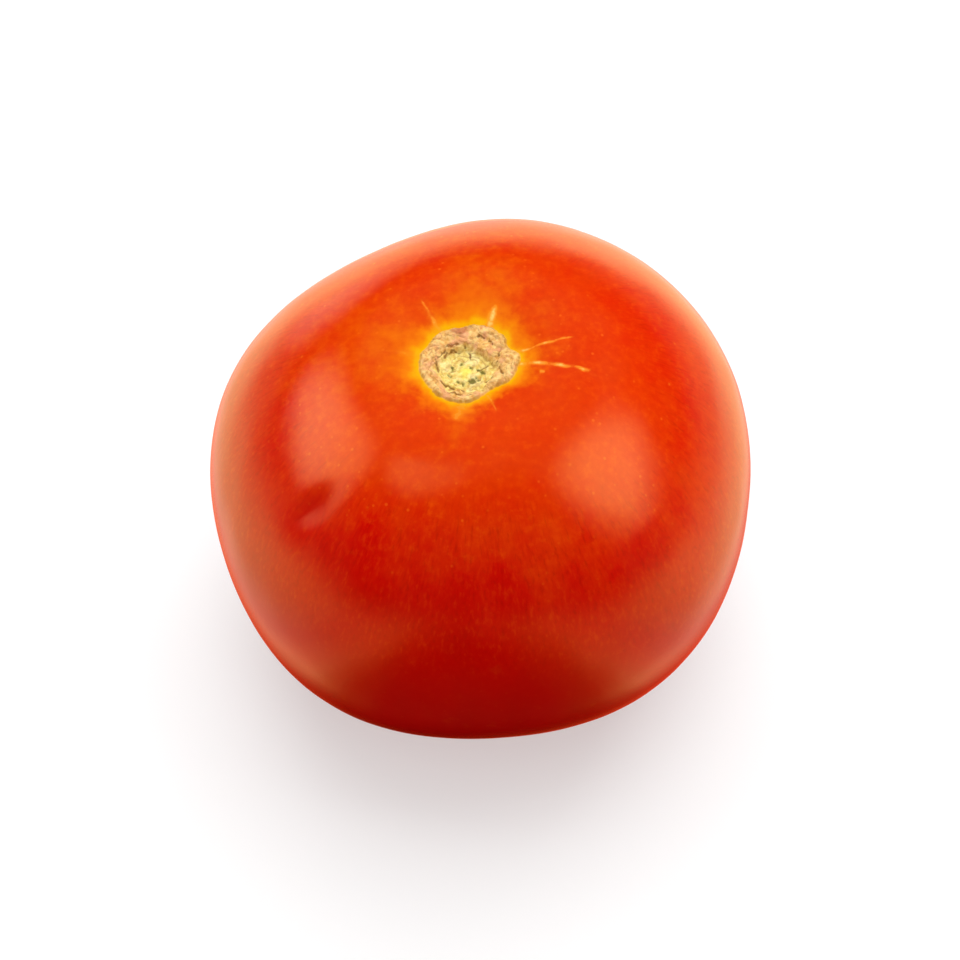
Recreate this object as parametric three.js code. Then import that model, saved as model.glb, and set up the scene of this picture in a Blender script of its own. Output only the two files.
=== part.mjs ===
// A ripe round tomato with its calyx gone, as the one solid that it grew as.
//
// Millimetres, +Z up. The fruit stands on its blossom end with the stem scar on top. The origin is on
// the surface that it rests on, under the middle of its box. The shape is worked out from the fruit's
// middle: each direction has a radius, and a direction is given by the angle around the stem axis and
// the angle down from the stem end. The finished fruit then leans over and settles on a flat spot.

import * as THREE from "three";

// Overall size, from the fruit's middle before it leans
const EQUATOR_RADIUS = 38.15;
const STEM_END_HEIGHT = 32.2;
const BLOSSOM_END_DEPTH = 32;

// How the outline differs from a plain oval: fuller shoulders above the equator with a slimmer lower
// half, and sides drawn in halfway between the equator and both ends
const SHOULDER_SWELL = 0.1;
const DIAGONAL_SLIMMING = 0.15;

// Broad swells around the equator. Each set has a number of crests, a crest height, and the angle
// around the stem axis of its first crest.
const SWELLS = [
  { crests: 2, height: 0.45, firstCrest: 47 },
  { crests: 3, height: 0.53, firstCrest: -59.5 },
  { crests: 4, height: 0.47, firstCrest: -33.5 },
  { crests: 5, height: 0.4, firstCrest: 17 },
];

// The wide shallow dish that the stem sat in: its depth, and the distance from the stem axis at which
// the depth has fallen to 37%
const DISH_DEPTH = 4.3;
const DISH_RADIUS = 11.4;

// The corky scar in the dish: a raised rim around a lower centre
const SCAR_RADIUS = 6.4;
const SCAR_RIM_WIDTH = 3;
const SCAR_RIM_HEIGHT = 0.35;
const SCAR_CENTRE_DEPTH = 0.4;

// A short crease in the left front flank, running down and away from the stem
const CREASE_AROUND = -138.7;
const CREASE_DOWN = 52.3;
const CREASE_TWIST = 18.7;
const CREASE_LENGTH = 12;
const CREASE_WIDTH = 6;
const CREASE_DEPTH = 0.45;

// How the fruit lies: the stem end leans towards -X, and the underside rests on a flat spot
const LEAN = 3.4;
const REST_SPOT_RADIUS = 8;

// The mesh: meridians around, rings from the stem end down, and how much closer together the rings
// are at both ends, from 0 for even rings to just under 1
const MERIDIANS = 76;
const RINGS = 60;
const RING_CROWDING = 0.6;

const SKIN_COLOUR = 0xd32c0c;
const SKIN_ROUGHNESS = 0.3;

const radians = THREE.MathUtils.degToRad;

// A bell-shaped falloff: 1 in the middle, and a tenth at half the given width on either side.
function bell(distance, width) {
  const BELLS_PER_WIDTH = 3;
  const ratio = (BELLS_PER_WIDTH * distance) / width;
  return Math.exp(-ratio * ratio);
}

// Radius of the smooth fruit at an angle down from the stem end. At 0, 90 and 180 degrees it is the
// stem end's height, the equator's radius and the blossom end's depth.
function outlineRadius(down) {
  const poleRadius = (STEM_END_HEIGHT + BLOSSOM_END_DEPTH) / 2;
  const even = (poleRadius + EQUATOR_RADIUS) / 2 - DIAGONAL_SLIMMING;
  const endToEnd = (STEM_END_HEIGHT - BLOSSOM_END_DEPTH) / 2 + SHOULDER_SWELL;
  const flattening = (poleRadius - EQUATOR_RADIUS) / 2;
  return (
    even +
    endToEnd * Math.cos(down) +
    flattening * Math.cos(2 * down) -
    SHOULDER_SWELL * Math.cos(3 * down) +
    DIAGONAL_SLIMMING * Math.cos(4 * down)
  );
}

// Sum of the swells at a direction. They are full at the equator and fade towards both ends, and the
// sets with more crests fade sooner.
function swellHeight(around, down) {
  const SHARPEST_FADE = 3;
  let height = 0;
  for (const { crests, height: crestHeight, firstCrest } of SWELLS) {
    const fade = Math.sin(down) ** Math.min(crests, SHARPEST_FADE);
    height += crestHeight * fade * Math.cos(crests * (around - radians(firstCrest)));
  }
  return height;
}

// Depth of the flank crease at a direction, from the distances along and across its line.
function creaseDepth(around, down) {
  const fromCrease = around - radians(CREASE_AROUND);
  const turn = Math.atan2(Math.sin(fromCrease), Math.cos(fromCrease));
  const eastward = turn * EQUATOR_RADIUS * Math.sin(radians(CREASE_DOWN));
  const stemward = (radians(CREASE_DOWN) - down) * EQUATOR_RADIUS;
  const twist = radians(CREASE_TWIST);
  const along = eastward * Math.sin(twist) + stemward * Math.cos(twist);
  const across = eastward * Math.cos(twist) - stemward * Math.sin(twist);
  return CREASE_DEPTH * bell(along, CREASE_LENGTH) * bell(across, CREASE_WIDTH);
}

// Height that the dish and the scar add to the stem end, at a distance from the stem axis.
function stemEndRelief(distance) {
  const dish = -DISH_DEPTH * Math.exp(-((distance / DISH_RADIUS) ** 2));
  const rimMiddle = SCAR_RADIUS - SCAR_RIM_WIDTH / 2;
  const rim = SCAR_RIM_HEIGHT * bell(distance - rimMiddle, SCAR_RIM_WIDTH);
  const centre = -SCAR_CENTRE_DEPTH * bell(distance, 2 * SCAR_RADIUS);
  return dish + rim + centre;
}

// The point of the upright fruit's surface at a direction.
function surfacePoint(around, down) {
  const radius = outlineRadius(down) + swellHeight(around, down) - creaseDepth(around, down);
  const fromAxis = radius * Math.sin(down);
  const isUpperHalf = down < Math.PI / 2;
  const relief = isUpperHalf ? stemEndRelief(fromAxis) : 0;
  return new THREE.Vector3(
    fromAxis * Math.cos(around),
    fromAxis * Math.sin(around),
    radius * Math.cos(down) + relief,
  );
}

// Moves even rings closer together towards both ends, and keeps both ends where they are.
function crowdedDown(evenDown) {
  return evenDown - (RING_CROWDING * Math.sin(2 * evenDown)) / 2;
}

// A closed ball of meridians and rings, reshaped into the leaning fruit.
function fruitGeometry() {
  const geometry = new THREE.SphereGeometry(1, MERIDIANS, RINGS);
  const position = geometry.getAttribute("position");
  const uv = geometry.getAttribute("uv");
  const leanAxis = new THREE.Vector3(0, 1, 0);
  const points = [];
  for (let i = 0; i < position.count; i += 1) {
    const around = 2 * Math.PI * uv.getX(i);
    const down = crowdedDown(Math.PI * (1 - uv.getY(i)));
    points.push(surfacePoint(around, down).applyAxisAngle(leanAxis, -radians(LEAN)));
  }

  // The flat spot takes off the cap below the level at which the blossom end has the spot's radius.
  const spotEdgeDown = Math.PI - Math.asin(REST_SPOT_RADIUS / BLOSSOM_END_DEPTH);
  const capDepth = BLOSSOM_END_DEPTH + outlineRadius(spotEdgeDown) * Math.cos(spotEdgeDown);
  const restHeight = Math.min(...points.map((point) => point.z)) + capDepth;
  points.forEach((point, i) => {
    position.setXYZ(i, point.x, point.y, Math.max(point.z, restHeight));
  });

  geometry.computeBoundingBox();
  const middle = geometry.boundingBox.getCenter(new THREE.Vector3());
  geometry.translate(-middle.x, -middle.y, -restHeight);
  geometry.computeVertexNormals();
  return geometry;
}

const skin = new THREE.MeshStandardMaterial({
  color: SKIN_COLOUR,
  roughness: SKIN_ROUGHNESS,
  metalness: 0,
});

const fruit = new THREE.Mesh(fruitGeometry(), skin);
fruit.name = "tomato";

const part = new THREE.Group();
part.add(fruit);

export default part;
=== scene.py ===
import math

import bpy
import numpy as np
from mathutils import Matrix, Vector, noise


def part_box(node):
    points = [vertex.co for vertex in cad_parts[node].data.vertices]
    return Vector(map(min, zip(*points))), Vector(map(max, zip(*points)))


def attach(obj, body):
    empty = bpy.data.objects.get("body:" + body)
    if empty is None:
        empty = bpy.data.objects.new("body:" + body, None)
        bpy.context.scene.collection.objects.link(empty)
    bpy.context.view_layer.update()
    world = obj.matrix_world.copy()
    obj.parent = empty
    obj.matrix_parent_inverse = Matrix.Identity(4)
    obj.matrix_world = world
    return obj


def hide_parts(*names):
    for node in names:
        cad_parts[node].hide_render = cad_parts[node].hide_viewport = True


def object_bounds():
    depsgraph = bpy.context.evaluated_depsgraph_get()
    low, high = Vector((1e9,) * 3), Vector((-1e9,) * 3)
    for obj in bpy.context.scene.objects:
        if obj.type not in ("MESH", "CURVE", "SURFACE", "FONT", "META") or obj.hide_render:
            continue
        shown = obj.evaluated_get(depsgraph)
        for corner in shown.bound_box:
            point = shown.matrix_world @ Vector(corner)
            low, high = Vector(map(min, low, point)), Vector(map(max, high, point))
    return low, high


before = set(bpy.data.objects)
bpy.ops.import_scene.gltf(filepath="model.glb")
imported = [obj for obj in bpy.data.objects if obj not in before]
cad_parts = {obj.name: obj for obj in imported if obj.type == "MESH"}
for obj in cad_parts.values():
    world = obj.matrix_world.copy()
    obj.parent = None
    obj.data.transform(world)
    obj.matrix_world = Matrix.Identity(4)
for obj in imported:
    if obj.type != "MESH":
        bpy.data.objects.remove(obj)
cad_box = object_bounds()

# The shape functions work in millimetres on the upright fruit. A direction is the angle around the
# stem axis and the angle down from the stem end, in radians. The smooth fruit is the CAD part's.
EQUATOR_RADIUS = 38.15
STEM_END_HEIGHT = 32.2
BLOSSOM_END_DEPTH = 32.0
SHOULDER_SWELL = 0.1
DIAGONAL_SLIMMING = 0.15
# Swells around the equator: crests, crest height, angle of the first crest in degrees
SWELLS = ((2, 0.45, 47.0), (3, 0.53, -59.5), (4, 0.47, -33.5), (5, 0.40, 17.0))
SHARPEST_FADE = 3
DISH_DEPTH = 4.3
DISH_RADIUS = 11.4
LEAN = math.radians(3.4)
REST_SPOT_RADIUS = 8.0

# The flank crease: where it is, how it runs, and its size
CREASE_AROUND = math.radians(-138.7)
CREASE_DOWN = math.radians(52.3)
CREASE_TWIST = math.radians(18.7)
CREASE_LENGTH = 12.0
CREASE_WIDTH = 6.0
CREASE_DEPTH = 0.45

# The scar's middle, east and north of the stem axis. Its edge is a circle with these changes: angle
# and half width in degrees, change of radius.
SCAR_CENTRE = (-0.25, -0.75)
SCAR_RADIUS = 6.3
SCAR_EDGE = (
    (9.0, 10.0, 0.60),
    (29.0, 12.0, -0.60),
    (68.0, 24.0, 0.35),
    (103.0, 10.0, -0.25),
    (122.0, 12.0, 0.40),
    (181.0, 28.0, 0.45),
    (-113.0, 28.0, 0.30),
    (-55.0, 24.0, -1.05),
    (-16.0, 10.0, 0.15),
)
# Growth lines around the pith: how far their sine turns in a millimetre, in radians
GROWTH_LINE_TURN = 6.5

# The pith is the lower disc inside the corky rim, a little off the stem axis. Its vein ends are
# given as east and north of its centre, width, and strength.
PITH_CENTRE = (-0.6, -0.7)
PITH_RADIUS = 3.9
HEART_RADIUS = 0.85
VEINS = (
    (-1.6, 0.6, 1.2, 0.9),
    (-0.5, 1.5, 1.1, 0.8),
    (0.8, 1.0, 1.0, 0.8),
    (1.8, 0.45, 1.1, 0.9),
    (2.2, -0.1, 1.3, 1.0),
    (1.5, -1.1, 1.2, 0.9),
    (0.85, -1.6, 1.4, 1.0),
    (-0.25, -1.9, 1.1, 0.8),
    (-1.05, -1.7, 1.1, 0.8),
    (-2.0, -0.3, 0.9, 0.6),
)

# Cracks in the cork: start and end angle in degrees and start and end radius, all about the pith's
# centre, then width and depth
CRACKS = (
    (-155.0, -88.0, 3.65, 3.1, 0.34, 0.34),
    (185.0, 92.0, 3.8, 4.5, 0.36, 0.30),
    (142.0, 98.0, 3.6, 3.4, 0.28, 0.18),
    (93.0, 70.0, 4.3, 2.1, 0.60, 0.36),
    (21.0, 12.0, 3.7, 1.9, 1.10, 0.26),
    (-14.0, 4.0, 5.0, 4.7, 0.34, 0.24),
    (12.0, 36.0, 4.5, 4.9, 0.30, 0.22),
    (-46.0, -16.0, 3.2, 3.9, 0.32, 0.22),
    (44.0, 74.0, 5.3, 5.7, 0.30, 0.20),
    (-120.0, -70.0, 4.8, 4.6, 0.28, 0.16),
)

# A dark bruise on the rim: angle in degrees and radius about the scar's middle, length around, width
BRUISE = (103.0, 5.85, 2.6, 1.0)

# Corky streaks that run out from the scar: start and end angle in degrees and start and end distance,
# all about the scar's middle, then width, strength, and how much they break up into dashes, 0 to 1
STREAKS = (
    (125.0, 121.0, 6.5, 13.0, 0.55, 0.62, 0.4),
    (66.0, 70.0, 6.3, 10.2, 1.00, 1.00, 0.0),
    (14.0, 13.5, 6.6, 15.0, 0.42, 0.85, 0.5),
    (-2.3, -8.0, 6.3, 18.4, 0.60, 1.00, 0.6),
    (-12.0, -12.6, 9.6, 10.4, 0.50, 0.60, 0.0),
    (-97.0, -101.0, 6.5, 10.2, 1.60, 0.40, 0.0),
    (-65.0, -66.5, 5.6, 9.3, 0.45, 0.50, 0.3),
    (168.0, 168.0, 6.5, 12.6, 0.60, 0.35, 0.5),
)
# How far the sine of the dashes turns in a millimetre, in radians
DASH_TURN = 2.1

# A streak's width along its length, in shares of its stated width: at its start, what it loses by its
# end, and a flare at its root that fades at the given rate
STREAK_START_WIDTH = 1.1
STREAK_THINNING = 0.45
STREAK_FLARE = 0.9
STREAK_FLARE_FADE = 5.0

# How far noise moves the cracks, the bruise and the streaks off their lines
CRACK_WANDER = 0.45
BRUISE_WANDER = 0.3
STREAK_WANDER = 0.35

# Wedges of unripe yellow around the scar: angle and half width in degrees, reach, strength
WEDGES = (
    (165.0, 46.0, 9.0, 0.58),
    (122.0, 16.0, 4.5, 0.50),
    (84.0, 30.0, 8.0, 0.75),
    (35.0, 24.0, 4.5, 0.60),
    (4.0, 14.0, 3.5, 0.50),
    (-18.0, 14.0, 3.5, 0.55),
    (-100.0, 13.0, 3.5, 0.85),
    (-140.0, 24.0, 3.5, 0.40),
)
# By what share lumps change a wedge's reach
WEDGE_UNEVENNESS = 0.35

# The yellow halo: how far it reaches from the scar's edge, and what lumps and wedges add to that
HALO_REACH = 1.4
HALO_UNEVENNESS = 0.45
HALO_WEDGE_GAIN = 1.3

# Heights and depths of the scar's relief
SCAR_RIM_HEIGHT = 0.38
SCAR_EDGE_GROOVE = 0.20
CORK_LUMP_HEIGHT = 0.18
CORK_GRAIN_HEIGHT = 0.08
GROWTH_RING_HEIGHT = 0.05
PITH_DEPTH = 0.42
HEART_HEIGHT = 0.14
VEIN_DEPTH = 0.20
STREAK_HEIGHT = 0.08
CRACK_DEPTH_SHARE = 0.7

# Noise at the stem end has a coarse wobble, lumps and fine grain. These are their sizes, how far each
# moves the scar's edge, how far the first two move the pith's, and the size of the gaps in the cracks.
WOBBLE_SIZE, LUMP_SIZE, GRAIN_SIZE = 2.2, 1.3, 0.45
EDGE_WOBBLE, EDGE_LUMPS, EDGE_GRAIN = 0.22, 0.14, 0.08
PITH_WOBBLE, PITH_LUMPS = 0.7, 0.3
CRACK_GAP_SIZE = 0.9

# How far, to either side, an edge blends
CORK_EDGE_BLEND = 0.16
PITH_EDGE_BLEND = 0.6
BLOSSOM_SCAR_EDGE_BLEND = 0.3

BLOSSOM_SCAR_RADIUS = 1.3
BLOSSOM_DIMPLE_RADIUS = 3.2
BLOSSOM_DIMPLE_DEPTH = 0.55

# Broad shallow unevenness all over the skin, and how far from the stem axis the stem end's relief goes
SKIN_UNEVENNESS = 0.07
SKIN_UNEVENNESS_SIZE = 9.0
STEM_END_REACH = 26.0

# The mesh: spacing of its rings over the scar and below the shoulder, the distances from the stem end
# between which it grows, and the fewest and most points around a ring
FINE_STEP = 0.13
COARSE_STEP = 0.62
FINE_REACH = 8.0
COARSE_FROM = 24.0
FEWEST_AROUND = 12
MOST_AROUND = 384
# The rings crowd together again at the blossom end: the spacing there, the distance over which it grows
# by 1 mm, and the least distance of a ring from that end
BLOSSOM_END_STEP = 0.2
BLOSSOM_END_GROWTH = 12.0
BLOSSOM_END_GAP = 0.15
# A ring has twice or half the points of the one above it, where it wants this many times as many
DOUBLE_ABOVE = 1.4
HALVE_BELOW = 0.7

# Long thin lines down the skin: how many lumps of noise make up a radian around the equator, and a
# radian down
MERIDIAN_LINES = 9.0
MERIDIAN_WAVES = 1.4

# A flank that is a little less ripe: angle, half width, and shift in the share of the way down
UNRIPE_FLANK_AROUND = math.radians(-28.0)
UNRIPE_FLANK_HALF_WIDTH = math.radians(36.0)
UNRIPE_FLANK_SHIFT = 0.075

# Sets how quickly a bell falls across its width
BELLS_PER_WIDTH = 3.0

# Each octave of a cloud is finer than the one before it by this ratio, and lower by the ratio to the
# power of the fall
OCTAVE_RATIO = 2.0
OCTAVE_FALL = 1.0


def bell(distance, width):
    """Falls from 1 in the middle to a tenth at half the width on either side."""
    return np.exp(-((BELLS_PER_WIDTH * distance / width) ** 2))


def smooth_step(start, full, value):
    """Goes smoothly from 0 at start to 1 at full, whichever of them is greater."""
    share = np.clip((value - start) / (full - start), 0.0, 1.0)
    return share * share * (3.0 - 2.0 * share)


def turn_between(angle, other):
    """The signed turn from other to angle, within half a turn."""
    return np.arctan2(np.sin(angle - other), np.cos(angle - other))


def cloud(points, size, octaves=3, offset=0.0):
    """Smooth random values at points, about -1 to 1, with lumps of the given size. Each offset gives
    another pattern."""
    shift = Vector((offset, 2.0 * offset, -offset))
    return np.array(
        [noise.fractal(Vector(p) / size + shift, OCTAVE_FALL, OCTAVE_RATIO, octaves) for p in points]
    )


# ---------------------------------------------------------------- the smooth fruit


def outline_radius(down):
    """Radius of the smooth fruit, from its middle."""
    pole_radius = (STEM_END_HEIGHT + BLOSSOM_END_DEPTH) / 2
    even = (pole_radius + EQUATOR_RADIUS) / 2 - DIAGONAL_SLIMMING
    end_to_end = (STEM_END_HEIGHT - BLOSSOM_END_DEPTH) / 2 + SHOULDER_SWELL
    flattening = (pole_radius - EQUATOR_RADIUS) / 2
    return (
        even
        + end_to_end * np.cos(down)
        + flattening * np.cos(2 * down)
        - SHOULDER_SWELL * np.cos(3 * down)
        + DIAGONAL_SLIMMING * np.cos(4 * down)
    )


def swell_height(around, down):
    """Sum of the swells, which are full at the equator and fade towards both ends."""
    height = np.zeros_like(down)
    for crests, crest_height, first_crest in SWELLS:
        fade = np.sin(down) ** min(crests, SHARPEST_FADE)
        height += crest_height * fade * np.cos(crests * (around - math.radians(first_crest)))
    return height


def crease_depth(around, down):
    """Depth of the flank crease, from the distances along and across its line."""
    eastward = turn_between(around, CREASE_AROUND) * EQUATOR_RADIUS * math.sin(CREASE_DOWN)
    stemward = (CREASE_DOWN - down) * EQUATOR_RADIUS
    along = eastward * math.sin(CREASE_TWIST) + stemward * math.cos(CREASE_TWIST)
    across = eastward * math.cos(CREASE_TWIST) - stemward * math.sin(CREASE_TWIST)
    return CREASE_DEPTH * bell(along, CREASE_LENGTH) * bell(across, CREASE_WIDTH)


def upright_points(around, down):
    """Points of the smooth upright fruit, with its dish and its crease."""
    radius = outline_radius(down) + swell_height(around, down) - crease_depth(around, down)
    from_axis = radius * np.sin(down)
    dish = DISH_DEPTH * np.exp(-((from_axis / DISH_RADIUS) ** 2)) * (down < math.pi / 2)
    return np.stack(
        [
            from_axis * np.cos(around),
            from_axis * np.sin(around),
            radius * np.cos(down) - dish,
        ],
        axis=1,
    )


# ---------------------------------------------------------------- the mesh's grid


def ring_step(travel, whole):
    """Distance to the next ring, at a distance travelled over the surface from the stem end."""
    step = FINE_STEP + (COARSE_STEP - FINE_STEP) * smooth_step(FINE_REACH, COARSE_FROM, travel)
    to_blossom_end = whole - travel
    return min(step, BLOSSOM_END_STEP + to_blossom_end / BLOSSOM_END_GROWTH)


def plan_rings():
    """Angle down and number of points of each ring between the two end points."""
    mean_radius = (STEM_END_HEIGHT + BLOSSOM_END_DEPTH + 2 * EQUATOR_RADIUS) / 4
    whole = math.pi * mean_radius
    travels = []
    travel = ring_step(0.0, whole)
    while travel < whole - BLOSSOM_END_GAP:
        travels.append(travel)
        travel += ring_step(travel, whole)
    rings = []
    count = FEWEST_AROUND
    for travel in travels:
        down = travel / mean_radius
        wanted = 2 * math.pi * EQUATOR_RADIUS * math.sin(down) / ring_step(travel, whole)
        if count < MOST_AROUND and wanted > DOUBLE_ABOVE * count:
            count *= 2
        elif count > FEWEST_AROUND and wanted < HALVE_BELOW * count:
            count //= 2
        rings.append((down, count))
    return rings


def stitch(upper, upper_count, lower, lower_count):
    """Faces between two rings, whose point numbers start at upper and lower. One may have twice the
    points of the other."""
    faces = []
    for i in range(min(upper_count, lower_count)):
        a, b = upper + i, upper + (i + 1) % upper_count
        c, d = lower + i, lower + (i + 1) % lower_count
        if upper_count == lower_count:
            faces.append((a, c, d, b))
        elif lower_count > upper_count:
            c, m, d = (lower + (2 * i + k) % lower_count for k in range(3))
            faces += [(a, c, m), (a, m, b), (b, m, d)]
        else:
            a, m, b = (upper + (2 * i + k) % upper_count for k in range(3))
            faces += [(a, c, m), (m, c, d), (m, d, b)]
    return faces


def build_grid():
    """Angles around and down of every point, and the faces."""
    rings = plan_rings()
    around, down = [0.0], [0.0]
    starts = []
    for ring_down, count in rings:
        starts.append(len(around))
        around += [2 * math.pi * k / count for k in range(count)]
        down += [ring_down] * count
    last = len(around)
    around.append(0.0)
    down.append(math.pi)

    faces = []
    top_count, bottom_count = rings[0][1], rings[-1][1]
    for k in range(top_count):
        faces.append((0, starts[0] + k, starts[0] + (k + 1) % top_count))
    for i in range(len(rings) - 1):
        faces += stitch(starts[i], rings[i][1], starts[i + 1], rings[i + 1][1])
    for k in range(bottom_count):
        faces.append((last, starts[-1] + (k + 1) % bottom_count, starts[-1] + k))
    return np.array(around), np.array(down), faces


# ---------------------------------------------------------------- the stem scar


def scar_edge(around):
    """Distance of the scar's edge from its middle."""
    edge = np.full_like(around, SCAR_RADIUS)
    for angle, half_width, change in SCAR_EDGE:
        turn = turn_between(around, math.radians(angle))
        edge += change * np.exp(-((turn / math.radians(half_width)) ** 2))
    return edge


def crack_field(east, north, wobble):
    """Depth and darkness of the cracks. Along each crack, the share goes from -1 to 1."""
    x, y = east - PITH_CENTRE[0], north - PITH_CENTRE[1]
    distance, angle = np.hypot(x, y), np.arctan2(y, x)
    depth, dark = np.zeros_like(x), np.zeros_like(x)
    for start, end, start_radius, end_radius, width, deepest in CRACKS:
        middle, half = math.radians((start + end) / 2), abs(math.radians(end - start)) / 2
        turn = turn_between(angle, middle)
        share = turn / half * (1 if end > start else -1)
        radius = start_radius + (end_radius - start_radius) * (share + 1) / 2
        off_line = distance - (radius + CRACK_WANDER * wobble)
        ends = smooth_step(1.15, 0.75, np.abs(share))
        line = ends * bell(off_line, 2.0 * width)
        depth = np.maximum(depth, deepest * line)
        dark = np.maximum(dark, line)
    return depth, dark


def vein_field(east, north):
    """Strength of the ring of dark vein ends in the pith."""
    strength = np.zeros_like(east)
    for x, y, width, strongest in VEINS:
        distance = np.hypot(east - PITH_CENTRE[0] - x, north - PITH_CENTRE[1] - y)
        strength = np.maximum(strength, strongest * bell(distance, width))
    return strength


def bruise_field(around, from_middle, wobble):
    """Strength of the bruise."""
    angle, radius, length, width = BRUISE
    along = turn_between(around, math.radians(angle)) * radius
    across = from_middle - radius + BRUISE_WANDER * wobble
    return bell(along, 2 * length) * bell(across, 2 * width)


def streak_field(around, from_middle, wobble):
    """Strength of the streaks that run out from the scar. Each one's start angle shifts its dashes."""
    strength = np.zeros_like(around)
    for start, end, near, far, width, strongest, breaks in STREAKS:
        share = (from_middle - near) / (far - near)
        angle = math.radians(start) + math.radians(end - start) * share
        across = turn_between(around, angle) * from_middle + STREAK_WANDER * wobble
        along = np.clip(share, 0.0, 1.0)
        flare = STREAK_FLARE * np.exp(-STREAK_FLARE_FADE * along)
        taper = width * (STREAK_START_WIDTH - STREAK_THINNING * along + flare)
        ends = smooth_step(-0.08, 0.05, share) * smooth_step(1.05, 0.75, share)
        dashes = 1.0 - breaks * (0.5 + 0.5 * np.sin(DASH_TURN * from_middle + start))
        strength = np.maximum(strength, strongest * ends * dashes * bell(across, 1.5 * taper))
    return strength


def wedge_field(around, off_scar, lumps):
    """How strongly the skin around the scar turns orange, at a distance off its edge."""
    strength = np.zeros_like(around)
    for angle, half_width, reach, strongest in WEDGES:
        turn = turn_between(around, math.radians(angle)) / math.radians(half_width)
        fade = np.exp(-off_scar / (reach * (1.0 + WEDGE_UNEVENNESS * lumps)))
        strength = np.maximum(strength, strongest * np.exp(-(turn**2)) * fade)
    return strength


def stem_end(points):
    """The relief of the scar and its surroundings along the surface normal, and the masks that the
    material reads, for points near the stem axis."""
    east, north = points[:, 0] - SCAR_CENTRE[0], points[:, 1] - SCAR_CENTRE[1]
    around, from_middle = np.arctan2(north, east), np.hypot(east, north)
    lumps = cloud(points, LUMP_SIZE, 3)
    grain = cloud(points, GRAIN_SIZE, 3, offset=3.0)
    wobble = cloud(points, WOBBLE_SIZE, 2, offset=5.0)
    edge = scar_edge(around) + EDGE_WOBBLE * wobble + EDGE_LUMPS * lumps + EDGE_GRAIN * grain
    outward = from_middle - edge
    off_scar = np.clip(outward, 0.0, None)

    cork = smooth_step(CORK_EDGE_BLEND, -CORK_EDGE_BLEND, outward)
    pith_distance = np.hypot(east - PITH_CENTRE[0], north - PITH_CENTRE[1])
    pith_distance = pith_distance + PITH_WOBBLE * wobble + PITH_LUMPS * lumps
    pith = smooth_step(PITH_RADIUS + PITH_EDGE_BLEND, PITH_RADIUS - PITH_EDGE_BLEND, pith_distance)
    heart = smooth_step(HEART_RADIUS + 0.5, HEART_RADIUS - 0.6, pith_distance - 0.2 * grain)
    veins = vein_field(east + 0.35 * grain, north - 0.30 * lumps)
    crack_depth, crack = crack_field(east, north, wobble + 0.5 * grain)
    broken = smooth_step(-0.60, 0.0, cloud(points, CRACK_GAP_SIZE, 2, offset=11.0))
    crack = crack * broken
    groove = bell(outward + 0.08, 0.7) * (0.55 + 0.45 * smooth_step(-0.4, 0.4, lumps))
    growth_rings = np.sin(GROWTH_LINE_TURN * pith_distance + 4.0 * lumps) * cork
    streak = streak_field(around, from_middle, wobble) * smooth_step(-0.2, 0.3, outward)
    streak = streak * (0.8 + 0.35 * grain)
    wedge = wedge_field(around, off_scar, lumps)
    halo_reach = HALO_REACH + HALO_UNEVENNESS * lumps + HALO_WEDGE_GAIN * wedge
    halo = np.exp(-off_scar / halo_reach)

    rim_level = SCAR_RIM_HEIGHT * (1.0 + 0.6 * lumps) * cork * (1.0 - pith)
    pith_level = -PITH_DEPTH * pith + HEART_HEIGHT * heart * (1.0 - veins)
    relief = (
        rim_level
        + pith_level
        + cork * (CORK_LUMP_HEIGHT * lumps + CORK_GRAIN_HEIGHT * grain)
        + GROWTH_RING_HEIGHT * growth_rings
        - SCAR_EDGE_GROOVE * groove
        - CRACK_DEPTH_SHARE * crack_depth * (0.4 + 0.6 * broken)
        - VEIN_DEPTH * veins * pith
        + STREAK_HEIGHT * streak
    )
    masks = {
        "cork": cork,
        "pith": pith,
        "heart": heart,
        "vein": veins * pith,
        "crack": crack * cork,
        "growth_line": smooth_step(-0.35, -1.0, growth_rings) * broken,
        "scar_line": groove,
        "bruise": bruise_field(around, from_middle, wobble) * cork,
        "halo": halo,
        "wedge": wedge,
        "streak": streak,
    }
    return relief, masks


# ---------------------------------------------------------------- the skin's own pattern


def unripe_flank(around, down):
    """Where the flank is more orange than its height says."""
    turn = turn_between(around, UNRIPE_FLANK_AROUND) / UNRIPE_FLANK_HALF_WIDTH
    return UNRIPE_FLANK_SHIFT * np.exp(-(turn**2)) * np.sin(down)


def meridian_lines(around, down):
    """Smooth random values that run down from the stem end in long thin lines, about -1 to 1."""
    across = MERIDIAN_LINES * np.sin(down)
    places = [across * np.cos(around), across * np.sin(around), MERIDIAN_WAVES * down]
    return cloud(np.stack(places, axis=1), 1.0, 3, offset=13.0)


# ---------------------------------------------------------------- the fruit's object


def settle(points):
    """Leans the upright fruit and rests it on its flat spot, with the CAD part's box."""
    lean = -LEAN
    x = points[:, 0] * math.cos(lean) + points[:, 2] * math.sin(lean)
    z = -points[:, 0] * math.sin(lean) + points[:, 2] * math.cos(lean)
    spot_edge = math.pi - math.asin(REST_SPOT_RADIUS / BLOSSOM_END_DEPTH)
    cap_depth = BLOSSOM_END_DEPTH + outline_radius(spot_edge) * math.cos(spot_edge)
    z = np.maximum(z - (z.min() + cap_depth), 0.0)
    return np.stack([x, points[:, 1], z], axis=1)


def fit_to_box(points, node):
    """Moves and scales points, axis by axis, to fill a CAD node's box, and turns them into metres."""
    low, high = (np.array(corner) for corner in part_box(node))
    near, far = points.min(axis=0), points.max(axis=0)
    return low + (points - near) * (high - low) / (far - near)


def set_mask(mesh, name, values):
    """Stores a value for each point, which the material reads by name."""
    attribute = mesh.attributes.new(name, "FLOAT", "POINT")
    attribute.data.foreach_set("value", values.astype(np.float32))


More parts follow.
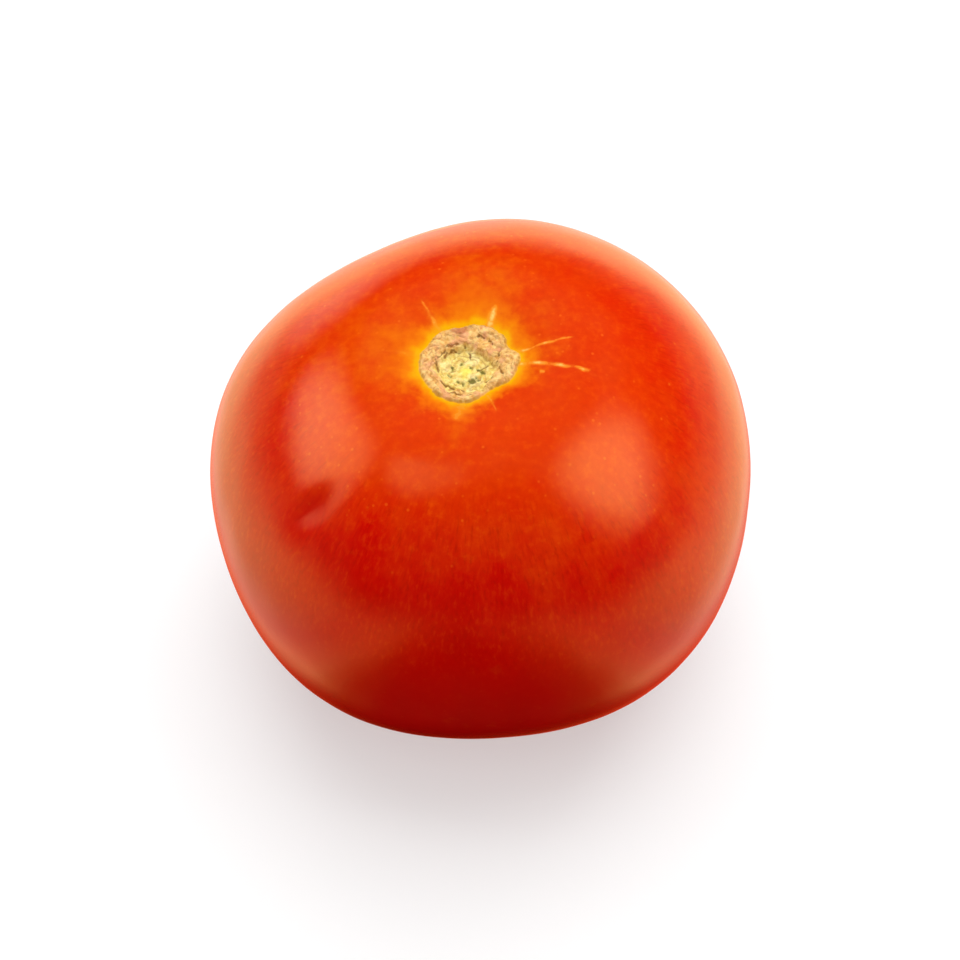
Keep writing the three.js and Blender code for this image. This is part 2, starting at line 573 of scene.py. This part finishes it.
def whole_skin_masks(around, down, from_blossom):
    """The masks that the material reads away from the stem end too."""
    outer = BLOSSOM_SCAR_RADIUS + BLOSSOM_SCAR_EDGE_BLEND
    inner = BLOSSOM_SCAR_RADIUS - BLOSSOM_SCAR_EDGE_BLEND
    return {
        "blossom_scar": smooth_step(outer, inner, from_blossom),
        "ripeness_and_shade": down / math.pi - unripe_flank(around, down),
        "crease": crease_depth(around, down) / CREASE_DEPTH,
        "meridian_lines": meridian_lines(around, down),
    }


def build_fruit():
    """The CAD part's shape, with the stem scar and the blossom end worked into it."""
    around, down, faces = build_grid()
    smooth = upright_points(around, down)
    mesh = bpy.data.meshes.new("tomato_fruit")
    mesh.from_pydata(smooth.tolist(), [], faces)
    normals = np.empty(len(smooth) * 3, np.float32)
    mesh.vertex_normals.foreach_get("vector", normals)
    normals = normals.reshape(-1, 3)

    from_axis = np.hypot(smooth[:, 0], smooth[:, 1])
    is_stem_end = (down < math.pi / 2) & (from_axis < STEM_END_REACH)
    relief = SKIN_UNEVENNESS * cloud(smooth, SKIN_UNEVENNESS_SIZE, 2, offset=9.0)
    masks = {}
    stem_end_relief, stem_end_masks = stem_end(smooth[is_stem_end])
    relief[is_stem_end] += stem_end_relief
    for name, values in stem_end_masks.items():
        masks[name] = np.zeros(len(smooth))
        masks[name][is_stem_end] = values
    points = settle(smooth + normals * relief[:, None])

    from_blossom = np.where(down > math.pi / 2, from_axis, np.inf)
    points[:, 2] += BLOSSOM_DIMPLE_DEPTH * bell(from_blossom, 2 * BLOSSOM_DIMPLE_RADIUS)
    masks.update(whole_skin_masks(around, down, from_blossom))

    points = fit_to_box(points, "tomato")
    mesh.vertices.foreach_set("co", points.astype(np.float32).ravel())
    for name, values in masks.items():
        set_mask(mesh, name, values)
    mesh.shade_smooth()
    mesh.update()
    fruit = bpy.data.objects.new("tomato_fruit", mesh)
    bpy.context.scene.collection.objects.link(fruit)
    return fruit


# ---------------------------------------------------------------- material tools


def colour(red, green, blue):
    """A shader colour from the usual 0 to 255 screen values, which are sRGB."""
    linear = []
    for value in (red, green, blue):
        share = value / 255.0
        linear.append(share / 12.92 if share <= 0.04045 else ((share + 0.055) / 1.055) ** 2.4)
    return (*linear, 1.0)


def add_node(tree, kind, inputs=None, **settings):
    """Adds a node. An input is given a value, or an output socket that is linked to it."""
    node = tree.nodes.new(kind)
    for name, value in settings.items():
        setattr(node, name, value)
    for name, value in (inputs or {}).items():
        if isinstance(value, bpy.types.NodeSocket):
            tree.links.new(value, node.inputs[name])
        else:
            node.inputs[name].default_value = value
    return node


def mask_node(tree, name):
    return add_node(tree, "ShaderNodeAttribute", attribute_name=name).outputs["Fac"]


def mix_colours(tree, share, first, second, blend="MIX"):
    """The second colour over the first, by a share. The sockets are a Mix node's for colours."""
    inputs = {0: share, 6: first, 7: second}
    node = add_node(tree, "ShaderNodeMix", inputs, data_type="RGBA", blend_type=blend)
    return node.outputs[2]


def remap(tree, value, low, high, new_low, new_high):
    """Maps low to high smoothly onto new_low to new_high."""
    inputs = {
        "Value": value,
        "From Min": low,
        "From Max": high,
        "To Min": new_low,
        "To Max": new_high,
    }
    node = add_node(tree, "ShaderNodeMapRange", inputs, interpolation_type="SMOOTHSTEP")
    return node.outputs["Result"]


def maths(tree, operation, first, second=0.0):
    """A sum on one or two numbers."""
    node = add_node(tree, "ShaderNodeMath", {0: first, 1: second}, operation=operation)
    return node.outputs["Value"]


def vector_maths(tree, operation, *inputs, output="Vector"):
    """A sum on vectors, which gives a vector or a value."""
    node = add_node(tree, "ShaderNodeVectorMath", dict(enumerate(inputs)), operation=operation)
    return node.outputs[output]


def noise_at(tree, place, size, detail=3.0, roughness=0.55):
    """Noise of 0 to 1 with lumps of the given size, in the place's units."""
    inputs = {"Vector": place, "Scale": 1.0 / size, "Detail": detail, "Roughness": roughness}
    return add_node(tree, "ShaderNodeTexNoise", inputs).outputs["Fac"]


def colour_ramp(tree, value, stops):
    node = add_node(tree, "ShaderNodeValToRGB", {"Fac": value})
    elements = node.color_ramp.elements
    while len(elements) < len(stops):
        elements.new(1.0)
    for element, (position, stop_colour) in zip(elements, stops):
        element.position = position
        element.color = stop_colour
    return node.outputs["Color"]


def paint(tree, base, coat, level, start, full, most=1.0, where=None):
    """Covers a colour with a coat. The cover grows as the level goes from start to full, up to the
    share most, and a mask may limit where it is."""
    share = remap(tree, level, start, full, 0.0, most)
    if where is not None:
        share = maths(tree, "MULTIPLY", share, where)
    return mix_colours(tree, share, base, coat)


# ---------------------------------------------------------------- the skin's material

# Sizes of the material's patterns, in metres
RIPENING_PATCH_SIZE = 0.011
MOTTLE_SIZE = 0.0012
SPECK_SPACING = 0.0015
RAGGED_EDGE_SIZE = 0.0024
GLOSS_PATCH_SIZE = 0.004
PORE_SIZE = 0.0007
CORK_PATCH_SIZE = 0.0016
CORK_FLECK_SIZE = 0.0006

# Fine strokes that run down the skin: how many there are in a radian around, and their length in metres
STROKES_AROUND = 62.0
STROKE_LENGTH = 0.0011

# The skin from the stem end down: share of the way, colour. Red-orange turns deep red with ripening,
# and the red grows darker lower down as painted shade.
RIPENING_AND_SHADE = (
    (0.08, colour(220, 56, 1)),
    (0.20, colour(221, 50, 1)),
    (0.26, colour(218, 33, 1)),
    (0.31, colour(214, 9, 1)),
    (0.35, colour(210, 2, 0)),
    (0.44, colour(202, 1, 0)),
    (0.58, colour(192, 1, 0)),
)
LIGHT_MOTTLE = colour(244, 96, 6)
DARK_MOTTLE = colour(188, 14, 1)
PALE_SPECK = colour(250, 132, 40)
LIGHT_STROKE = colour(232, 66, 8)
DARK_STROKE = colour(168, 0, 0)
# Painted shade: a darker red laid along the flank crease
PAINTED_CREASE_SHADE = colour(196, 6, 0)

UNRIPE_ORANGE = colour(234, 108, 1)
HALO_ORANGE = colour(238, 126, 1)
HALO_YELLOW = colour(240, 172, 1)
STREAK_EDGE = colour(240, 142, 10)
STREAK_MIDDLE = colour(244, 196, 104)

CORK_TAN = colour(222, 164, 88)
CORK_CREAM = colour(244, 206, 136)
CORK_PEACH = colour(230, 160, 120)
CORK_BROWN = colour(170, 108, 50)
PITH_KHAKI = colour(222, 186, 92)
PITH_CREAM = colour(246, 226, 144)
PITH_PALE = colour(250, 236, 172)
GROWTH_LINE_BROWN = colour(168, 104, 50)
HEART_YELLOW = colour(248, 232, 104)
VEIN_OLIVE = colour(104, 96, 40)
CRACK_BROWN = colour(130, 76, 30)
BRUISE_BROWN = colour(184, 100, 72)
SCAR_LINE_BROWN = colour(164, 112, 32)
BLOSSOM_SCAR_BROWN = colour(150, 100, 50)

# The skin's gloss is orange, not white. Its roughness varies from patch to patch.
SKIN_GLOSS_TINT = (1.0, 0.70, 0.22, 1.0)
GLOSSIEST = 0.11
LEAST_GLOSSY = 0.15
CORK_ROUGHNESS = 0.85

# The bump's height in metres, and the share of it that each pattern has
BUMP_HEIGHT = 0.0002
PORE_BUMP = 0.12
STROKE_BUMP = 0.10
CORK_BUMP = 0.7


def skin_grain(tree, place):
    """Noise of 0 to 1 in short fine strokes that run down the fruit."""
    level = vector_maths(tree, "MULTIPLY", place, (1.0, 1.0, 0.0))
    outward = vector_maths(tree, "NORMALIZE", level)
    around = vector_maths(tree, "MULTIPLY", outward, (STROKES_AROUND, STROKES_AROUND, 0.0))
    down_scale = (0.0, 0.0, 1.0 / STROKE_LENGTH)
    strokes = vector_maths(tree, "MULTIPLY_ADD", place, down_scale, around)
    return noise_at(tree, strokes, 1.0, detail=2.0, roughness=0.6)


def ripening_and_shade_colour(tree, place, down):
    """Red-orange at the stem end and deep red below, with an uneven change between them. The darker red
    low on the fruit is partly painted shade.
    """
    patches = noise_at(tree, place, RIPENING_PATCH_SIZE)
    ripeness_and_shade = maths(tree, "ADD", down, remap(tree, patches, 0.3, 0.7, -0.03, 0.03))
    lines = maths(tree, "MULTIPLY", mask_node(tree, "meridian_lines"), 0.05)
    ripeness_and_shade = maths(tree, "ADD", ripeness_and_shade, lines)
    return colour_ramp(tree, ripeness_and_shade, RIPENING_AND_SHADE)


def add_mottle(tree, place, down, base):
    """Fine mottling and pale specks, which fade away down the fruit."""
    mottle = noise_at(tree, place, MOTTLE_SIZE, detail=5.0, roughness=0.65)
    fade = remap(tree, down, 0.36, 0.22, 0.08, 1.0)
    base = paint(tree, base, LIGHT_MOTTLE, mottle, 0.46, 0.80, 0.34, where=fade)
    base = paint(tree, base, DARK_MOTTLE, mottle, 0.52, 0.22, 0.22)
    cells = add_node(tree, "ShaderNodeTexVoronoi", {"Vector": place, "Scale": 1.0 / SPECK_SPACING})
    is_dot = remap(tree, cells.outputs["Distance"], 0.20, 0.06, 0.0, 1.0)
    is_chosen = remap(tree, cells.outputs["Color"], 0.35, 0.80, 0.0, 1.0)
    specks = maths(tree, "MULTIPLY", maths(tree, "MULTIPLY", is_dot, is_chosen), fade)
    return mix_colours(tree, maths(tree, "MULTIPLY", specks, 0.32), base, PALE_SPECK)


def add_strokes(tree, grain, down, base):
    """Light and dark strokes on the middle of the flank."""
    below_shoulder = remap(tree, down, 0.17, 0.27, 0.0, 1.0)
    above_underside = remap(tree, down, 0.47, 0.37, 0.0, 1.0)
    flank = maths(tree, "MULTIPLY", below_shoulder, above_underside)
    base = paint(tree, base, LIGHT_STROKE, grain, 0.50, 0.80, 0.36, where=flank)
    return paint(tree, base, DARK_STROKE, grain, 0.50, 0.22, 0.36, where=flank)


def skin_colour(tree, place, grain):
    """The skin away from the stem scar, with painted shade low on the fruit and in the flank crease."""
    down = mask_node(tree, "ripeness_and_shade")
    # The ripening colour also carries painted shade, darker towards the bottom
    base = ripening_and_shade_colour(tree, place, down)
    base = add_mottle(tree, place, down, base)
    base = add_strokes(tree, grain, down, base)
    # Painted shade in the flank crease
    crease = maths(tree, "MULTIPLY", mask_node(tree, "crease"), 0.7)
    return mix_colours(tree, crease, base, PAINTED_CREASE_SHADE)


def add_halo(tree, place, base):
    """The yellow ring around the scar, which fades outward through orange, and its streaks."""
    ragged = remap(tree, noise_at(tree, place, RAGGED_EDGE_SIZE, detail=4.0), 0.25, 0.75, -0.12, 0.12)
    wedge = maths(tree, "ADD", mask_node(tree, "wedge"), maths(tree, "MULTIPLY", ragged, 0.5))
    base = paint(tree, base, UNRIPE_ORANGE, wedge, 0.03, 0.55, 0.90)
    level = maths(tree, "ADD", mask_node(tree, "halo"), ragged)
    base = paint(tree, base, HALO_ORANGE, level, 0.08, 0.52, 0.85)
    base = paint(tree, base, HALO_YELLOW, level, 0.42, 0.88)
    streak = mask_node(tree, "streak")
    base = paint(tree, base, STREAK_EDGE, streak, 0.05, 0.50, 0.80)
    return paint(tree, base, STREAK_MIDDLE, streak, 0.40, 0.95)


def cork_and_pith(tree, place):
    """Peach cork around khaki pith."""
    grain = noise_at(tree, place, CORK_FLECK_SIZE, detail=5.0, roughness=0.6)
    lumps = noise_at(tree, place, CORK_PATCH_SIZE)
    cork = paint(tree, CORK_TAN, CORK_CREAM, grain, 0.35, 0.65)
    cork = paint(tree, cork, CORK_PEACH, lumps, 0.46, 0.62, 0.70)
    cork = paint(tree, cork, CORK_BROWN, grain, 0.40, 0.26, 0.45)
    pith = paint(tree, PITH_KHAKI, PITH_CREAM, grain, 0.35, 0.65)
    pith = paint(tree, pith, PITH_PALE, lumps, 0.52, 0.66, 0.6)
    return mix_colours(tree, mask_node(tree, "pith"), cork, pith)


def add_scar(tree, place, base):
    """The stem scar, with brown growth lines and cracks, olive vein ends and a yellow heart."""
    scar = cork_and_pith(tree, place)
    ring = maths(tree, "MULTIPLY", mask_node(tree, "growth_line"), 0.5)
    scar = mix_colours(tree, ring, scar, GROWTH_LINE_BROWN)
    heart = maths(tree, "MULTIPLY", mask_node(tree, "heart"), 0.85)
    scar = mix_colours(tree, heart, scar, HEART_YELLOW)
    scar = paint(tree, scar, VEIN_OLIVE, mask_node(tree, "vein"), 0.15, 0.80, 0.92)
    scar = paint(tree, scar, CRACK_BROWN, mask_node(tree, "crack"), 0.20, 0.90, 0.80)
    scar = paint(tree, scar, BRUISE_BROWN, mask_node(tree, "bruise"), 0.25, 0.80, 0.65)
    base = mix_colours(tree, mask_node(tree, "cork"), base, scar)
    return paint(tree, base, SCAR_LINE_BROWN, mask_node(tree, "scar_line"), 0.30, 0.95, 0.50)


def skin_roughness(tree, place, cork):
    """Glossy skin in faint patches, rougher on the streaks and roughest on the cork."""
    skin = remap(tree, noise_at(tree, place, GLOSS_PATCH_SIZE), 0.3, 0.7, GLOSSIEST, LEAST_GLOSSY)
    streak = maths(tree, "MULTIPLY", mask_node(tree, "streak"), 0.7)
    is_rough = maths(tree, "MAXIMUM", cork, streak)
    inputs = {"Value": is_rough, "To Min": skin, "To Max": CORK_ROUGHNESS}
    return add_node(tree, "ShaderNodeMapRange", inputs).outputs["Result"]


def skin_bump(tree, place, grain, cork):
    """Fine pores and strokes in the skin, and coarser grain in the cork."""
    height = maths(tree, "MULTIPLY", noise_at(tree, place, PORE_SIZE), PORE_BUMP)
    height = maths(tree, "ADD", height, maths(tree, "MULTIPLY", grain, STROKE_BUMP))
    cork_grain = noise_at(tree, place, CORK_FLECK_SIZE, detail=5.0, roughness=0.7)
    cork_height = maths(tree, "MULTIPLY", maths(tree, "MULTIPLY", cork_grain, CORK_BUMP), cork)
    height = maths(tree, "ADD", height, cork_height)
    inputs = {"Height": height, "Strength": 0.5, "Distance": BUMP_HEIGHT}
    return add_node(tree, "ShaderNodeBump", inputs).outputs["Normal"]


def make_skin():
    material = bpy.data.materials.new("tomato_skin")
    material.use_nodes = True
    tree = material.node_tree
    shader = tree.nodes["Principled BSDF"]
    place = add_node(tree, "ShaderNodeTexCoord").outputs["Object"]

    grain = skin_grain(tree, place)
    base = skin_colour(tree, place, grain)
    base = add_halo(tree, place, base)
    base = add_scar(tree, place, base)
    blossom_scar = mask_node(tree, "blossom_scar")
    base = mix_colours(tree, blossom_scar, base, BLOSSOM_SCAR_BROWN)
    cork = maths(tree, "MAXIMUM", mask_node(tree, "cork"), blossom_scar)

    tree.links.new(base, shader.inputs["Base Color"])
    tree.links.new(skin_roughness(tree, place, cork), shader.inputs["Roughness"])
    tree.links.new(skin_bump(tree, place, grain, cork), shader.inputs["Normal"])
    shader.inputs["IOR"].default_value = 1.45
    shader.inputs["Specular Tint"].default_value = SKIN_GLOSS_TINT
    shader.inputs["Subsurface Weight"].default_value = 0.12
    shader.inputs["Subsurface Radius"].default_value = (1.0, 0.25, 0.1)
    shader.inputs["Subsurface Scale"].default_value = 0.003
    return material


# ---------------------------------------------------------------- the floor

WHITE = (1.0, 1.0, 1.0, 1.0)
FLOOR_GREY = (0.45, 0.45, 0.45, 1.0)

# Half the floor's width, and a gap that keeps it from touching the fruit's flat spot, in metres
FLOOR_HALF_SIZE = 4.0
FLOOR_GAP = 0.0001

# The floor glows more strongly further out. Close to the fruit, a factor dims the glow, so that a
# shadow shows where the fruit stands. Both are given as metres from the middle and a value.
GLOW_NEAR, GLOW_FAR = (0.06, 0.60), (0.50, 1.10)
DIMMED_NEAR, DIMMED_FAR = (0.008, 0.50), (0.045, 1.0)


def between(tree, value, near, far):
    """Goes smoothly from one (distance, result) pair to another."""
    return remap(tree, value, near[0], far[0], near[1], far[1])


def make_floor_material():
    """A pale table that glows, so that its shadow stays soft and its far parts stay white."""
    material = bpy.data.materials.new("pale_floor")
    material.use_nodes = True
    tree = material.node_tree
    shader = tree.nodes["Principled BSDF"]
    place = add_node(tree, "ShaderNodeTexCoord").outputs["Object"]
    from_middle = vector_maths(tree, "LENGTH", place, output="Value")
    glow = between(tree, from_middle, GLOW_NEAR, GLOW_FAR)
    glow = maths(tree, "MULTIPLY", glow, between(tree, from_middle, DIMMED_NEAR, DIMMED_FAR))
    tree.links.new(glow, shader.inputs["Emission Strength"])
    shader.inputs["Emission Color"].default_value = WHITE
    shader.inputs["Base Color"].default_value = FLOOR_GREY
    shader.inputs["Roughness"].default_value = 0.9
    shader.inputs["Specular IOR Level"].default_value = 0.0
    return material


def make_floor():
    """The floor is only seen directly. Its bounce and its reflection come from a lamp and the room."""
    far, z = FLOOR_HALF_SIZE, -FLOOR_GAP
    corners = [(-far, -far, z), (far, -far, z), (far, far, z), (-far, far, z)]
    mesh = bpy.data.meshes.new("floor")
    mesh.from_pydata(corners, [], [(0, 1, 2, 3)])
    mesh.materials.append(make_floor_material())
    floor = bpy.data.objects.new("floor", mesh)
    floor.visible_diffuse = False
    floor.visible_glossy = False
    floor.visible_shadow = False
    bpy.context.scene.collection.objects.link(floor)


# ---------------------------------------------------------------- light

# Softboxes that are only seen in gloss: direction, width and height in metres, radiance. They stand at
# one distance, in metres.
SOFTBOX_DISTANCE = 0.7
SOFTBOXES = {
    "left_softbox": ((-0.79, 0.23, 0.56), (0.74, 0.70), 4.8),
    "right_softbox": ((0.69, -0.08, 0.72), (0.80, 0.84), 5.2),
    "small_softbox": ((-0.33, -0.13, 0.93), (0.40, 0.40), 2.0),
    "back_left_softbox": ((-0.50, 0.84, 0.10), (0.50, 0.40), 0.85),
}

# Lamps that aren't seen in gloss: direction, distance, width and height in metres, radiance
LAMPS = {
    "overhead": ((0.10, 0.50, 1.0), 1.1, (1.4, 1.4), 3.25),
    "front_fill": ((0.0, -1.0, 0.45), 1.1, (1.4, 1.4), 0.66),
    "left_fill": ((-1.0, -0.25, 0.15), 1.1, (1.0, 1.0), 1.95),
    "right_fill": ((1.0, -0.25, 0.10), 1.1, (1.0, 1.0), 2.15),
    "floor_bounce": ((0.0, 0.0, -1.0), 0.6, (3.0, 3.0), 0.40),
}

# A softbox is at its full strength this near its middle, and dark this far off, in shares of its size
SOFTBOX_FULL = 0.12
SOFTBOX_DARK = 0.50

# The ground that the skin reflects: share of the way from low in front to high behind, colour. The
# dark ground in front is narrow, because the share also grows to both sides of a middle line.
REFLECTED_GROUND = (
    (0.15, (0.03, 0.02, 0.01, 1.0)),
    (0.24, (0.40, 0.15, 0.03, 1.0)),
    (0.30, (1.20, 0.48, 0.14, 1.0)),
    (0.35, (2.00, 0.88, 0.36, 1.0)),
    (0.42, (2.40, 0.95, 0.50, 1.0)),
    (0.52, (1.90, 0.88, 0.62, 1.0)),
    (0.62, (1.90, 1.20, 0.72, 1.0)),
    (0.72, (2.00, 1.35, 0.65, 1.0)),
    (0.80, (2.20, 1.60, 0.75, 1.0)),
    (0.90, (2.10, 1.50, 0.72, 1.0)),
    (1.00, (1.45, 0.98, 0.45, 1.0)),
)
FRONT_TO_BACK = (0.0, 0.6, 0.8)
MIDDLE_LINE = -0.06
SIDEWAYS_GROWTH = 0.5

# The ground is darkest and reddest under the fruit: its direction, the cosines of the angles from it at
# which the tint starts and is full, and the factor that it multiplies the ground by
UNDER_FRUIT = (0.0, 0.22, -0.975)
TINT_STARTS, TINT_FULL = 0.80, 0.975
UNDER_FRUIT_TINT = (0.40, 0.08, 0.06, 1.0)

# The ground turns into a dim ceiling between these heights of a direction of length 1
GROUND_BELOW = -0.22
CEILING_ABOVE = 0.26
DIM_CEILING = (0.03, 0.03, 0.03, 1.0)


def place_lamp(name, direction, distance, size, radiance):
    """A flat lamp that faces the fruit, with its brightness given as radiance."""
    data = bpy.data.lights.new(name, "AREA")
    data.shape = "RECTANGLE"
    data.size, data.size_y = size
    data.energy = radiance * math.pi * size[0] * size[1]
    lamp = bpy.data.objects.new(name, data)
    middle = (cad_box[0] + cad_box[1]) / 2
    towards = Vector(direction).normalized()
    lamp.location = middle + towards * distance
    lamp.rotation_mode = "QUATERNION"
    lamp.rotation_quaternion = towards.to_track_quat("Z", "Y")
    lamp.visible_camera = False
    bpy.context.scene.collection.objects.link(lamp)
    return lamp


def fade_edges(lamp):
    """Makes a lamp bright in the middle and dark at its edges."""
    lamp.data.use_nodes = True
    tree = lamp.data.node_tree
    place = add_node(tree, "ShaderNodeNewGeometry").outputs["Parametric"]
    from_middle = vector_maths(tree, "DISTANCE", place, (0.5, 0.5, 0.0), output="Value")
    strength = remap(tree, from_middle, SOFTBOX_DARK, SOFTBOX_FULL, 0.0, 1.0)
    tree.links.new(strength, tree.nodes["Emission"].inputs["Strength"])


def reflected_ground(tree, way, east):
    """The ground's colour in a direction, whose part to the east is given too."""
    backward = vector_maths(tree, "DOT_PRODUCT", way, FRONT_TO_BACK, output="Value")
    share = add_node(tree, "ShaderNodeMapRange", {"Value": backward, "From Min": -1.0})
    off_middle = maths(tree, "ABSOLUTE", maths(tree, "SUBTRACT", east, MIDDLE_LINE))
    sideways = maths(tree, "MULTIPLY", off_middle, SIDEWAYS_GROWTH)
    share = maths(tree, "ADD", share.outputs["Result"], sideways)
    ground = colour_ramp(tree, share, REFLECTED_GROUND)
    under = vector_maths(tree, "DOT_PRODUCT", way, UNDER_FRUIT, output="Value")
    is_under = remap(tree, under, TINT_STARTS, TINT_FULL, 0.0, 1.0)
    return mix_colours(tree, is_under, ground, UNDER_FRUIT_TINT, blend="MULTIPLY")


def make_room():
    """The room that the skin reflects, which lights nothing. Seen directly, it is white."""
    world = bpy.data.worlds.new("pale_room")
    world.use_nodes = True
    tree = world.node_tree
    way = add_node(tree, "ShaderNodeTexCoord").outputs["Generated"]
    parts = add_node(tree, "ShaderNodeSeparateXYZ", {"Vector": way})
    is_ground = remap(tree, parts.outputs["Z"], CEILING_ABOVE, GROUND_BELOW, 0.0, 1.0)
    ground = reflected_ground(tree, way, parts.outputs["X"])
    room = mix_colours(tree, is_ground, DIM_CEILING, ground)
    seen_directly = add_node(tree, "ShaderNodeLightPath").outputs["Is Camera Ray"]
    room = mix_colours(tree, seen_directly, room, WHITE)
    tree.links.new(room, tree.nodes["Background"].inputs["Color"])
    world.cycles_visibility.diffuse = False
    bpy.context.scene.world = world


def light_the_stage():
    make_room()
    for name, (direction, distance, size, radiance) in LAMPS.items():
        lamp = place_lamp(name, direction, distance, size, radiance)
        lamp.visible_glossy = False
    for name, (direction, size, radiance) in SOFTBOXES.items():
        lamp = place_lamp(name, direction, SOFTBOX_DISTANCE, size, radiance)
        lamp.visible_diffuse = False
        fade_edges(lamp)


# ---------------------------------------------------------------- camera

# The camera's height as an angle, its distance in metres, and how many fruits wide the frame is
LOOK_ELEVATION = math.radians(55.5)
LOOK_DISTANCE = 0.5
FRAME_TO_FRUIT_WIDTH = 1.78


def aim_camera():
    """Looks at the fruit's middle from the front and above. The fruit's width sets the lens."""
    low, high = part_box("tomato")
    middle = (low + high) / 2
    data = bpy.data.cameras.new("camera")
    data.lens = data.sensor_width * LOOK_DISTANCE / (FRAME_TO_FRUIT_WIDTH * (high.x - low.x))
    camera = bpy.data.objects.new("camera", data)
    back = Vector((0.0, -math.cos(LOOK_ELEVATION), math.sin(LOOK_ELEVATION)))
    camera.location = middle + back * LOOK_DISTANCE
    camera.rotation_mode = "QUATERNION"
    camera.rotation_quaternion = (-back).to_track_quat("-Z", "Y")
    bpy.context.scene.collection.objects.link(camera)
    bpy.context.scene.camera = camera
    bpy.context.scene.view_settings.view_transform = "Standard"


# ---------------------------------------------------------------- the scene

aim_camera()
light_the_stage()
make_floor()

tomato = build_fruit()
tomato.data.materials.append(make_skin())
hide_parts("tomato")
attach(tomato, "root")
